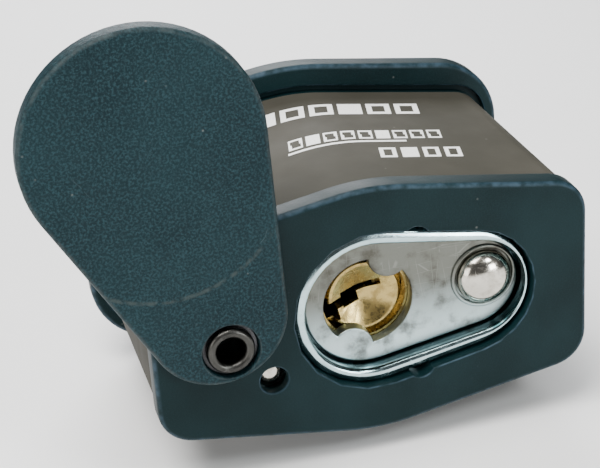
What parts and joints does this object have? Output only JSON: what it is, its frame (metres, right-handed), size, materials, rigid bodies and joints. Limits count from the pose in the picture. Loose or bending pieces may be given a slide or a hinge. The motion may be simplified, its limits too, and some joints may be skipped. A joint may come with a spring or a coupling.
{
  "type": "laminated padlock",
  "caption": "Laminated steel padlock in a black weather cover, with a pivoting key cover, a rekeyable pin cylinder and a ball-locked steel shackle.",
  "frame": {"origin": "on the keyway axis, in the plane of the bottom cap's outer face", "axes": "+X across the lock towards the toe leg and the door screw, +Y from the keyway face to the shackle, +Z out of the label face, which is up when the lock lies on its back"},
  "size_m": [0.0834, 0.0942, 0.0725],
  "materials": {
    "cover_plastic": "black moulded thermoplastic with a fine grain",
    "flap_plastic": "dark pebbled moulded thermoplastic",
    "sleeve_plastic": "matt warm grey-black label sleeve",
    "print": "white pad print",
    "seal_rubber": "black rubber",
    "dark_steel": "black oxide steel",
    "plate_steel": "chrome plated steel",
    "lamination_steel": "stamped steel",
    "worn_plate": "worn grey plated steel",
    "polished_steel": "polished steel",
    "shackle_steel": "chrome plated boron steel",
    "brass": "machined brass",
    "spring_steel": "spring wire"
  },
  "bodies": {
    "lock_body": {"bottom_cap": "cover_plastic", "label_sleeve": "sleeve_plastic", "top_bumper": "cover_plastic", "pivot_rivet": "dark_steel", "pivot_washer": "spring_steel", "toe_seal": "seal_rubber", "heel_seal": "seal_rubber", "bottom_plate": "plate_steel", "top_plate": "lamination_steel", "body_rivets": "polished_steel", "cylinder_door": "worn_plate", "door_screw": "polished_steel", "cylinder_shell": "brass", "chamber_cap": "brass", "shackle_spring": "spring_steel", "print_marks": "print", "lamination_1": "lamination_steel", "lamination_2": "lamination_steel", "lamination_3": "lamination_steel", "lamination_4": "lamination_steel", "lamination_5": "lamination_steel", "lamination_6": "lamination_steel", "lamination_7": "lamination_steel", "lamination_8": "lamination_steel", "lamination_9": "lamination_steel", "lamination_10": "lamination_steel", "lamination_11": "lamination_steel", "lamination_12": "lamination_steel", "lamination_13": "lamination_steel", "driver_pin_1": "spring_steel", "pin_spring_1": "spring_steel", "driver_pin_2": "spring_steel", "pin_spring_2": "spring_steel", "driver_pin_3": "spring_steel", "pin_spring_3": "spring_steel", "driver_pin_4": "spring_steel", "pin_spring_4": "spring_steel", "driver_pin_5": "spring_steel", "pin_spring_5": "spring_steel"},
    "key_cover": {"key_cover": "flap_plastic"},
    "shackle": {"shackle": "shackle_steel"},
    "plug": {"cylinder_plug": "brass", "actuator": "spring_steel", "key_pin_1": "brass", "key_pin_2": "brass", "key_pin_3": "brass", "key_pin_4": "brass", "key_pin_5": "brass"},
    "toe_ball": {"toe_ball": "polished_steel"},
    "heel_ball": {"heel_ball": "polished_steel"}
  },
  "joints": [
    {"name": "key_cover_pivot", "type": "hinge", "parent": "lock_body", "child": "key_cover", "pos_m": [-0.0222, 0, 0], "axis": [0, 1, 0], "range_deg": [-74.4, 105.6]},
    {"name": "shackle_lift", "type": "slide", "parent": "lock_body", "child": "shackle", "axis": [0, 1, 0], "range_m": [0, 0.019], "deforming": ["shackle_spring"]},
    {"name": "plug_turn", "type": "hinge", "parent": "lock_body", "child": "plug", "pos_m": [0, 0, 0], "axis": [0, 1, 0], "range_deg": [0, 90]},
    {"name": "toe_ball_slide", "type": "slide", "parent": "lock_body", "child": "toe_ball", "axis": [-1, 0, 0], "range_m": [0, 0.0031]},
    {"name": "heel_ball_slide", "type": "slide", "parent": "lock_body", "child": "heel_ball", "axis": [1, 0, 0], "range_m": [0, 0.0016]}
  ],
  "couplings": [
    {"joint": "plug_turn", "follows": "shackle_lift", "rad_per_m": 82.673},
    {"joint": "toe_ball_slide", "follows": "shackle_lift", "ratio": 0.16316},
    {"joint": "heel_ball_slide", "follows": "shackle_lift", "ratio": 0.084211}
  ]
}
